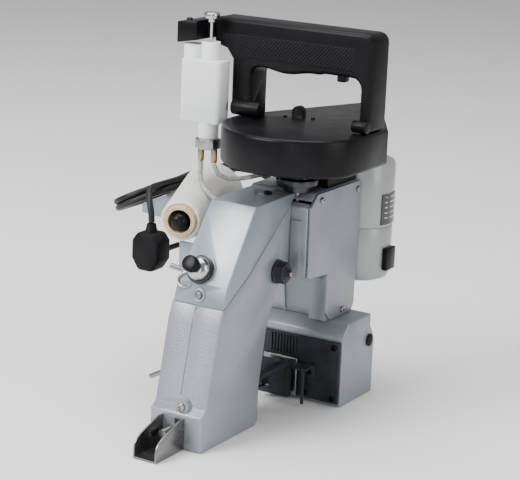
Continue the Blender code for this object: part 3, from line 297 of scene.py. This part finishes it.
def potPlastic(v):
    f = Finish("potPlastic", v["colour"], 0.38, 0.0, Subsurface_Weight=0.45, Subsurface_Scale=0.012,
               Subsurface_Radius=(1.0, 1.0, 0.95))
    aboveOil = f.axis("Z").clamp(*v["oilLevel"])
    wet = f.mix(f.noise(45, 3), (0.78, 0.83, 0.82), (0.88, 0.91, 0.90))
    dry = f.mix(f.noise(70, 3), (0.88, 0.92, 0.93), (0.95, 0.96, 0.97))
    f.feed("Base Color", f.mix(aboveOil, wet, dry))
    f.feed("Roughness", 0.30 + 0.22 * f.noise(140, 3))
    return f.bump(f.noise(220, 3), 0.00012, 0.5).material


def motorPaint():
    colour = (0.300, 0.310, 0.315)
    f = Finish("motorPaint", colour, 0.30, 0.12, Coat_Weight=0.25, Coat_Roughness=0.15)
    f.feed("Base Color", f.mix(f.noise(24, 4).clamp(0.3, 0.75), shade(colour, 0.92), shade(colour, 1.06)))
    f.feed("Roughness", 0.24 + 0.16 * f.noise(110, 4))
    return f.bump(f.noise(480, 2), 0.00009, 0.5).material


labelValues = {"pitch": 0.0046, "margin": 0.0030, "topMargin": 0.0025, "barColour": (0.62, 0.62, 0.60)}


def labelPrint(v):
    f = Finish("labelPrint", (0.02, 0.02, 0.022), 0.30, 0.0, Coat_Weight=0.4)
    low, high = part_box("rating_label")
    z, y = f.axis("Z"), f.axis("Y")
    bars = ((z * (2 * pi / v["pitch"])).maths("SINE")).clamp(0.80, 0.92)
    breaks = f.noise(260, 1, f.mapped(scale=(1, 1, 0.05))).clamp(0.42, 0.47)
    inside = (f.between(y, low.y + v["margin"], high.y - v["margin"])
              * f.between(z, low.z + v["margin"], high.z - v["topMargin"]))
    ground = f.mix(f.noise(60, 3), (0.016, 0.016, 0.018), (0.03, 0.03, 0.032))
    f.feed("Base Color", f.mix(bars * breaks * inside, ground, v["barColour"]))
    f.feed("Roughness", 0.24 + 0.14 * f.noise(120, 3))
    return f.bump(f.noise(500, 2), 0.00004, 0.4).material


def clearTube():
    colour = (0.42, 0.45, 0.44)
    f = Finish("clearTube", colour, 0.14, 0.0, Transmission_Weight=0.35, IOR=1.45, Coat_Weight=0.5)
    f.feed("Base Color", f.mix(f.noise(300, 3).clamp(0.3, 0.7), (0.34, 0.37, 0.35), (0.62, 0.65, 0.63)))
    f.feed("Roughness", 0.10 + 0.14 * f.noise(200, 3))
    return f.bump(f.noise(400, 2), 0.00005, 0.4).material


threadValues = {"coneTurn": 18, "waver": 0.0016, "pitch": 0.00075, "crossPitch": 0.0021, "crossSlope": 0.35}


def threadFinish(v):
    f = Finish("threadFinish", (0.86, 0.84, 0.77), 0.80, 0.0, Sheen_Weight=0.3)
    turn = radians(v["coneTurn"])
    coneWay = Vector((-sin(turn), cos(turn), 0))
    along = f.axis("X") * coneWay.x + f.axis("Y") * coneWay.y
    waver = f.noise(45, 2) * v["waver"]
    strands = ((along + waver) * (2 * pi / v["pitch"])).maths("SINE") * 0.5 + 0.5
    slanted = along - f.axis("Z") * v["crossSlope"] + waver
    cross = (slanted * (2 * pi / v["crossPitch"])).maths("SINE") * 0.5 + 0.5
    # the winding is painted darker in the grooves between strands and lighter on their crests, following
    # the bump: painted shade and painted highlight over the real winding pattern
    f.feed("Base Color", f.mix(strands * 0.6 + cross * 0.3, (0.66, 0.63, 0.55), (0.93, 0.91, 0.85)))
    f.feed("Roughness", 0.72 + 0.2 * f.noise(700, 3))
    return f.bump(strands + cross * 0.7 + f.noise(2500, 2) * 0.4, 0.00035, 0.8).material


def cardFinish():
    f = Finish("cardFinish", (0.52, 0.38, 0.23), 0.78)
    fibres = f.noise(700, 4, f.mapped(scale=(1, 0.2, 1)), 0.7)
    f.feed("Base Color", f.mix(fibres.clamp(0.3, 0.7), (0.40, 0.28, 0.16), (0.66, 0.51, 0.34)))
    f.feed("Roughness", 0.68 + 0.2 * fibres)
    return f.bump(fibres, 0.00012, 0.6).material


def cordRubber():
    f = Finish("cordRubber", (0.009, 0.009, 0.010), 0.42, Specular_IOR_Level=0.30)
    cloud = f.noise(90, 4).clamp(0.3, 0.7)
    f.feed("Base Color", f.mix(cloud, (0.006, 0.006, 0.007), (0.016, 0.016, 0.018)))
    f.feed("Roughness", 0.36 + 0.2 * f.noise(200, 4))
    return f.bump(f.noise(1200, 3), 0.00008, 0.6).material


potWhite, motorGrey = potPlastic(potValues), motorPaint()
labelBlack, tubeClear = labelPrint(labelValues), clearTube()
threadCream, cardBrown, cordBlack = threadFinish(threadValues), cardFinish(), cordRubber()


def floorFinish():
    f = Finish("floorFinish", (0.86, 0.86, 0.86), 0.62)
    f.feed("Base Color", f.mix(f.noise(3, 3), (0.85, 0.85, 0.85), (0.88, 0.88, 0.88)))
    return f.material


floorValues = {"size": 9, "sky": 0.42}


def makeFloor(v):
    bpy.ops.mesh.primitive_plane_add(size=v["size"], location=(0, 0, 0))
    floor = bpy.context.object
    floor.name = "floor"
    floor.data.materials.append(floorFinish())
    world = bpy.data.worlds.new("studio")
    bpy.context.scene.world = world
    world.use_nodes = True
    world.node_tree.nodes["Background"].inputs["Color"].default_value = (1, 1, 1, 1)
    world.node_tree.nodes["Background"].inputs["Strength"].default_value = v["sky"]


makeFloor(floorValues)
print("finishes made")


# power cord: route from the gland into the hank, its turns, and the tail down to the plug

cordValues = {"radius": 0.00275, "fold": 0.0275, "run": 0.090, "middle": (-0.1560, 0.1845, 0.1610),
              "tilt": 26.5, "bend": 0.0240, "turn": 78, "lanes": 9, "spacing": 0.0050,
              "gland": (-0.0502, 0.2415, 0.1200), "plug": (-0.1180, 0.0960, 0.1500),
              "hankGap": 0.00045, "plugGap": 0.0012, "tailReach": 0.0180}
cordR, cordFold = cordValues["radius"], cordValues["fold"]


def hankPoint(across, along, above):
    tilt = radians(cordValues["tilt"])
    wide = Vector((cos(tilt), 0, sin(tilt)))
    up = Vector((-sin(tilt), 0, cos(tilt)))
    return at(*cordValues["middle"]) + wide * across + Vector((0, along, 0)) + up * above


def smoothLine(points, spacing):
    path = [Vector(p) for p in points]
    path = [2 * path[0] - path[1]] + path + [2 * path[-1] - path[-2]]
    fine = []
    for a, b, c, d in zip(path, path[1:], path[2:], path[3:]):
        for k in range(24):
            t = k / 24
            fine.append(0.5 * (2 * b + (c - a) * t + (2 * a - 5 * b + 4 * c - d) * t**2
                               + (3 * b - a - 3 * c + d) * t**3))
    fine.append(path[-2])
    total = sum((q - p).length for p, q in zip(fine, fine[1:]))
    count = max(2, round(total / spacing))
    result, walked, goal = [fine[0]], 0.0, total / count
    for p, q in zip(fine, fine[1:]):
        step = (q - p).length
        while walked + step >= goal * len(result) and len(result) < count:
            result.append(p.lerp(q, (goal * len(result) - walked) / step))
        walked += step
    return result + [fine[-1]]


def hankTurns():
    half = cordValues["run"] / 2
    last = cordValues["lanes"] - 1
    lanes = [(-1) ** i * (cordFold - min(i, last - i) * cordR) for i in range(last + 1)]
    points = []
    for i, lane in enumerate(lanes):
        low = -cordR if i <= last / 2 else cordR
        heading = -1 if lane > 0 else 1
        for k in range(6):
            along = -heading * half + heading * cordValues["run"] * k / 5
            points.append(hankPoint(lane, along, low))
        if i == last:
            break
        ahead = lanes[i + 1]
        nextLow = -cordR if i + 1 <= last / 2 else cordR
        centre, radius = (lane + ahead) / 2, abs(lane - ahead) / 2
        for k in range(1, 12):
            turn = pi * k / 12
            across = centre + (lane - centre) * cos(turn)
            level = low + (nextLow - low) * k / 12
            points.append(hankPoint(across, heading * (half + radius * sin(turn)), level))
    return points


def curvePoints(start, leave, arrive, end, count=12):
    points = []
    for k in range(count + 1):
        t = k / count
        points.append((1 - t) ** 3 * start + 3 * (1 - t) ** 2 * t * leave
                      + 3 * (1 - t) * t**2 * arrive + t**3 * end)
    return points


def leadPoints(start, end):
    bend, most = cordValues["bend"], radians(cordValues["turn"])
    corner = Vector((end.x + bend * (2 * sin(most) + 1), start.y))
    middle = corner + bend * Vector((-2 * sin(most), 1 - 2 * cos(most)))
    plan = [start.xy, corner]
    for k in range(1, 6):
        plan.append(corner + bend * Vector((-sin(most * k / 5), 1 - cos(most * k / 5))))
    for k in range(1, 11):
        turn = pi - most + (pi / 2 + most) * k / 10
        plan.append(middle + bend * Vector((sin(turn), -cos(turn))))
    plan.append(end.xy)
    points = []
    for k, spot in enumerate(plan):
        t = k / (len(plan) - 1)
        points.append(Vector((*spot, start.z + (end.z - start.z) * (3 - 2 * t) * t**2)))
    return points


glandEnd, plugTop = at(*cordValues["gland"]), at(*cordValues["plug"])
rounding = sqrt((cordFold + cordR) ** 2 - (cordFold - cordR) ** 2)
leadIn = cordValues["run"] / 2 + rounding + cordValues["hankGap"]
hankIn, hankOut = hankPoint(cordFold, leadIn, -cordR), hankPoint(cordFold, -leadIn, cordR)
leadRoute = leadPoints(glandEnd, hankIn)
tailReach = cordValues["tailReach"]
tailRoute = curvePoints(hankOut, hankOut - Vector((0, tailReach, 0)), plugTop + Vector((0, 0, tailReach)),
                        plugTop + Vector((0, 0, cordValues["plugGap"])))


def addTube(name, line, radius, rounds, material):
    curve = bpy.data.curves.new(name, "CURVE")
    curve.dimensions = "3D"
    curve.bevel_depth = radius
    curve.bevel_resolution = rounds
    curve.use_fill_caps = True
    spline = curve.splines.new("POLY")
    spline.points.add(len(line) - 1)
    for knot, spot in zip(spline.points, line):
        knot.co = (*spot, 1)
    tube = bpy.data.objects.new(name, curve)
    bpy.context.scene.collection.objects.link(tube)
    tube.data.materials.append(material)
    return tube


def makeCord():
    line = smoothLine(leadRoute + hankTurns() + tailRoute, cordValues["spacing"])
    cord = addTube("mainsCord", line, cordR, 4, cordBlack)
    length = sum((q - p).length for p, q in zip(line, line[1:]))
    print("cord length", round(length, 3))
    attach(cord, "machine")
    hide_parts("power_cord", "cord_hank", "cord_tail")
    return cord, length


mainsCord, cordLength = makeCord()


# rounded, smooth copies of the machine's own pieces

def selectOnly(item):
    if bpy.context.mode != "OBJECT":
        bpy.ops.object.mode_set(mode="OBJECT")
    bpy.ops.object.select_all(action="DESELECT")
    item.select_set(True)
    bpy.context.view_layer.objects.active = item


def bodyOf(node):
    return next(name for name, nodes in frame["record"]["behaviour"]["bodies"].items() if node in nodes)


refineValues = {"weld": 0.000004, "flat": 0.6, "segments": 2, "sharp": 40, "smooth": 34}


def refine(node, name, material, edge):
    v = refineValues
    source = frame["nodes"][node]
    piece = bpy.data.objects.new(name, source.data.copy())
    bpy.context.scene.collection.objects.link(piece)
    selectOnly(piece)
    bpy.ops.object.mode_set(mode="EDIT")
    bpy.ops.mesh.select_all(action="SELECT")
    bpy.ops.mesh.remove_doubles(threshold=v["weld"])
    bpy.ops.mesh.dissolve_limited(angle_limit=radians(v["flat"]))
    bpy.ops.object.mode_set(mode="OBJECT")
    if edge:
        step = piece.modifiers.new("edges", "BEVEL")
        step.width = edge
        step.segments = v["segments"]
        step.limit_method = "ANGLE"
        step.angle_limit = radians(v["sharp"])
        step.harden_normals = False
        bpy.ops.object.modifier_apply(modifier="edges")
    bpy.ops.object.shade_smooth_by_angle(angle=radians(refineValues["smooth"]))
    piece.data.materials.clear()
    piece.data.materials.append(material)
    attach(piece, bodyOf(node))
    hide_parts(node)
    return piece


# node: (piece, finish, rounding of its edges)
shells = {
    "arm_casting": ("armShell", armPaint, 0.0005),
    "front_cover": ("frontCoverShell", coverPaint, 0.0004),
    "gear_housing": ("gearHousingShell", paintedCasting, 0.0005),
    "side_cover": ("sideCoverPlate", shadedSidePaint, 0.0003),
    "bed_casting": ("bedShell", paintedCasting, 0.0005),
    "bed_plate": ("bedPlateBlack", blackSteel, 0.0003),
    "needle_plate": ("needlePlate", machined, 0.0003),
    "feed_dog": ("feedDog", machined, 0.0001),
    "looper": ("looperHook", machined, 0.0002),
    "presser_foot": ("presserFoot", blackSteel, 0.0004),
    "presser_lever": ("presserLever", turnedSteel, 0.0003),
    "chain_cutter": ("chainCutter", blackSteel, 0.0003),
    "needle_guard": ("needleGuard", stainless, 0.0003),
    "needle_bar": ("needleBar", turnedSteel, 0.0003),
    "needle": ("needlePoint", chrome, 0.0),
    "needle_lever": ("needleLever", roughCasting, 0.0003),
    "pivot_bolt": ("pivotBolt", blackSteel, 0.0003),
    "main_pulley": ("mainPulley", machined, 0.0003),
    "motor_pulley": ("motorPulley", turnedSteel, 0.0002),
    "drive_belt": ("driveBelt", rubberBlack, 0.0002),
    "belt_base": ("beltBase", basePlastic, 0.0004),
    "bearing_hub": ("bearingHub", darkSteel, 0.0003),
    "belt_cover": ("beltCover", coverPlastic, 0.0003),
    "motor_housing": ("motorHousing", motorGrey, 0.0003),
    "motor_cap": ("motorCap", motorGrey, 0.0004),
    "rating_label": ("blankLabel", labelBlack, 0.0),
    "brush_holder": ("brushHolder", knobPlastic, 0.0002),
    "handle": ("carryHandle", handlePlastic, 0.0004),
    "trigger_button": ("triggerButton", knobPlastic, 0.0003),
    "oil_pot": ("oilPot", potWhite, 0.0004),
    "oil_plunger": ("oilPlunger", chrome, 0.0002),
    "pot_nut": ("potNut", zinc, 0.0003),
    "ferrule_left": ("ferruleLeft", brass, 0.0001),
    "ferrule_right": ("ferruleRight", brass, 0.0001),
    "oil_bracket": ("oilBracket", coverPlastic, 0.0004),
    "oil_tube_left": ("oilTubeLeft", tubeClear, 0.0),
    "oil_tube_right": ("oilTubeRight", tubeClear, 0.0),
    "paper_cone": ("cardCone", cardBrown, 0.0003),
    "spindle": ("coneSpindle", turnedSteel, 0.0002),
    "spindle_knob": ("spindleKnob", knobPlastic, 0.0),
    "spool_bracket": ("spoolBracket", bracketPaint, 0.0003),
    "tension_stud": ("tensionStud", turnedSteel, 0.0002),
    "tension_discs": ("tensionDiscs", darkSteel, 0.0001),
    "tension_cup": ("tensionCup", chrome, 0.0002),
    "thread_guide": ("threadGuide", turnedSteel, 0.0003),
    "cord_gland": ("cordGland", rubberBlack, 0.0003),
    "bed_plug": ("bedPlug", rubberBlack, 0.0002),
    "plug": ("mainsPlug", rubberBlack, 0.0),
    "tension_knob": ("tensionKnob", knobPlastic, 0.0002),
    "thread_winding": ("threadWinding", threadCream, 0.0003),
}
pieces = {node: refine(node, *values) for node, values in shells.items()}
print("machine pieces made")


# screws, clips and other small details

def finishPiece(item, name, body, material):
    item.name = name
    selectOnly(item)
    bpy.ops.object.transform_apply(location=True, rotation=True, scale=True)
    bpy.ops.object.shade_smooth_by_angle(angle=radians(refineValues["smooth"]))
    item.data.materials.clear()
    item.data.materials.append(material)
    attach(item, body)
    return item


def applied(item, kind, **values):
    step = item.modifiers.new("step", kind)
    for key, value in values.items():
        setattr(step, key, value)
    selectOnly(item)
    bpy.ops.object.modifier_apply(modifier="step")


def turnTo(item, place, way):
    item.matrix_world = Matrix.Translation(place) @ Vector(way).to_track_quat("Z", "Y").to_matrix().to_4x4()


# in radii of the head
screwValues = {"height": 0.66, "round": 0.26, "sink": 0.425, "slotLong": 1.15, "slotWide": 0.26,
               "slotDeep": 0.34}


def crossScrew(name, place, way, radius, material, node=None):
    v = screwValues
    bpy.ops.object.select_all(action="DESELECT")
    bpy.ops.mesh.primitive_cylinder_add(vertices=28, radius=radius, depth=v["height"] * radius,
                                        location=(0, 0, v["height"] * radius / 2))
    head = bpy.context.object
    bpy.ops.object.transform_apply(location=True)
    bpy.ops.object.mode_set(mode="EDIT")
    work = bmesh.from_edit_mesh(head.data)
    for edge in work.edges:
        edge.select_set(all(corner.co.z > 0.5 * v["height"] * radius for corner in edge.verts))
    bpy.ops.mesh.bevel(offset=v["round"] * radius, segments=4)
    bpy.ops.object.mode_set(mode="OBJECT")
    for long, wide in ((v["slotLong"], v["slotWide"]), (v["slotWide"], v["slotLong"])):
        bpy.ops.object.select_all(action="DESELECT")
        bpy.ops.mesh.primitive_cube_add(size=1, location=(0, 0, v["height"] * radius),
                                        scale=(long * radius, wide * radius, 2 * v["slotDeep"] * radius))
        tool = bpy.context.object
        applied(head, "BOOLEAN", operation="DIFFERENCE", solver="EXACT", object=tool)
        bpy.data.objects.remove(tool)
    turnTo(head, place, way)
    if node:
        finishPiece(head, name, bodyOf(node), material)
        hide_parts(node)
    else:
        finishPiece(head, name, "machine", material)
    return head


up, right, front, slope = (0, 0, 1), (1, 0, 0), (0, -1, 0), (0, -0.970, 0.243)

# screws of the machine's own nodes: radius, direction, finish
nodeScrews = {
    "side_cover_screw_1": (0.0027, right, zinc),
    "side_cover_screw_2": (0.0027, right, zinc),
    "side_cover_screw_3": (0.0027, right, zinc),
    "bed_plate_screw_1": (0.0028, front, knobPlastic),
    "bed_plate_screw_2": (0.0028, front, knobPlastic),
    "guard_screw": (0.0034, front, zinc),
    "front_cover_screw": (0.0026, slope, zinc),
}
# small screws and plugs with no node: place, direction, radius, finish, slot
looseScrews = {
    "bracketScrew": ((-0.1005, 0.1180, 0.3219), up, 0.0026, darkSteel, "steel"),
    "pivotEndScrew": ((0.0129, 0.1067, 0.1266), right, 0.0022, brass, "brass"),
    "coverScrewLeft": ((-0.0205, 0.1437, 0.2476), up, 0.0017, knobPlastic, "black_plastic"),
    "coverScrewRight": ((0.0019, 0.1511, 0.2476), up, 0.0017, knobPlastic, "black_plastic"),
    "cutterScrewLow": ((0.0024, 0.1598, 0.0080), front, 0.0022, knobPlastic, "blackened"),
    "cutterScrewHigh": ((0.0070, 0.1577, 0.0275), front, 0.0020, knobPlastic, "blackened"),
    "oilHolePlug": ((-0.0150, 0.1120, 0.1886), up, 0.0034, knobPlastic, "black_plastic"),
}


def nodeScrew(node, radius, way, material):
    low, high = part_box(node)
    way = Vector(way).normalized()
    middle = (Vector(low) + Vector(high)) / 2
    words = node.split("_")
    name = words[0] + "".join(word.title() for word in words[1:])
    seat = middle - way * screwValues["sink"] * radius
    pieces[node] = crossScrew(name, seat, way, radius, material, node)


for node, values in nodeScrews.items():
    nodeScrew(node, *values)
for name, (place, way, radius, material, slot) in looseScrews.items():
    crossScrew(name, at(*place), way, radius, material)

ringValues = {"radius": 0.0046, "wire": 0.0012, "flatten": 0.8, "place": (-0.0245, 0.0282, 0.1196)}


def coverRing(v):
    bpy.ops.object.select_all(action="DESELECT")
    bpy.ops.mesh.primitive_torus_add(major_radius=v["radius"], minor_radius=v["wire"],
                                     major_segments=32, minor_segments=10)
    ring = bpy.context.object
    bpy.ops.object.mode_set(mode="EDIT")
    bpy.ops.transform.resize(value=(1, 1, v["flatten"]))
    bpy.ops.object.mode_set(mode="OBJECT")
    turnTo(ring, at(*v["place"]), slope)
    finishPiece(ring, "coverScrewRing", "machine", coverPaint)


coverRing(ringValues)

ribValues = {"first": (-0.0335, 0.1588, 0.0395), "size": (0.0012, 0.0014, 0.0165),
             "edge": 0.0003, "step": 0.0030, "count": 9}


def plateRibs(v):
    first, size = at(*v["first"]), Vector(v["size"])
    bpy.ops.object.select_all(action="DESELECT")
    bpy.ops.mesh.primitive_cube_add(size=1, location=first + size / 2, scale=size)
    ribs = bpy.context.object
    bpy.ops.object.transform_apply(location=True, scale=True)
    applied(ribs, "BEVEL", width=v["edge"], segments=2)
    applied(ribs, "ARRAY", count=v["count"], use_relative_offset=False, use_constant_offset=True,
            constant_offset_displace=(v["step"], 0, 0))
    finishPiece(ribs, "plateRibs", "machine", blackSteel)


plateRibs(ribValues)

tieValues = {"wide": 0.011, "thick": 0.0010, "corner": 0.0040, "spare": 0.0004}


def hankTie(v):
    reach = cordFold + cordR + v["spare"]
    bpy.ops.object.select_all(action="DESELECT")
    bpy.ops.mesh.primitive_cube_add(size=1, scale=(2 * reach, v["wide"], 4 * cordR + 2 * v["spare"]))
    tie = bpy.context.object
    bpy.ops.object.transform_apply(scale=True)
    bpy.ops.object.mode_set(mode="EDIT")
    work = bmesh.from_edit_mesh(tie.data)
    for face in work.faces:
        face.select_set(abs(face.normal.y) > 0.9)
    bpy.ops.mesh.delete(type="ONLY_FACE")
    work = bmesh.from_edit_mesh(tie.data)
    for edge in work.edges:
        edge.select_set(abs(edge.verts[0].co.y - edge.verts[1].co.y) > 0.5 * v["wide"])
    bpy.ops.mesh.bevel(offset=v["corner"], segments=5)
    bpy.ops.object.mode_set(mode="OBJECT")
    applied(tie, "SOLIDIFY", thickness=v["thick"], offset=1)
    tie.rotation_euler = (0, -radians(cordValues["tilt"]), 0)
    tie.location = at(*cordValues["middle"])
    finishPiece(tie, "cordTie", "machine", rubberBlack)


hankTie(tieValues)

clipValues = {"radius": 0.00075, "spacing": 0.0012, "points": [
    (-0.0405, 0.0330, 0.1350), (-0.0440, 0.0318, 0.1330), (-0.0460, 0.0305, 0.1298),
    (-0.0452, 0.0292, 0.1262), (-0.0425, 0.0284, 0.1240), (-0.0385, 0.0281, 0.1238),
    (-0.0355, 0.0283, 0.1250), (-0.0340, 0.0290, 0.1266)]}


def wireClip(v):
    line = smoothLine([at(*spot) for spot in v["points"]], v["spacing"])
    clip = addTube("threadClip", line, v["radius"], 3, chrome)
    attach(clip, "machine")


wireClip(clipValues)
print("details made")
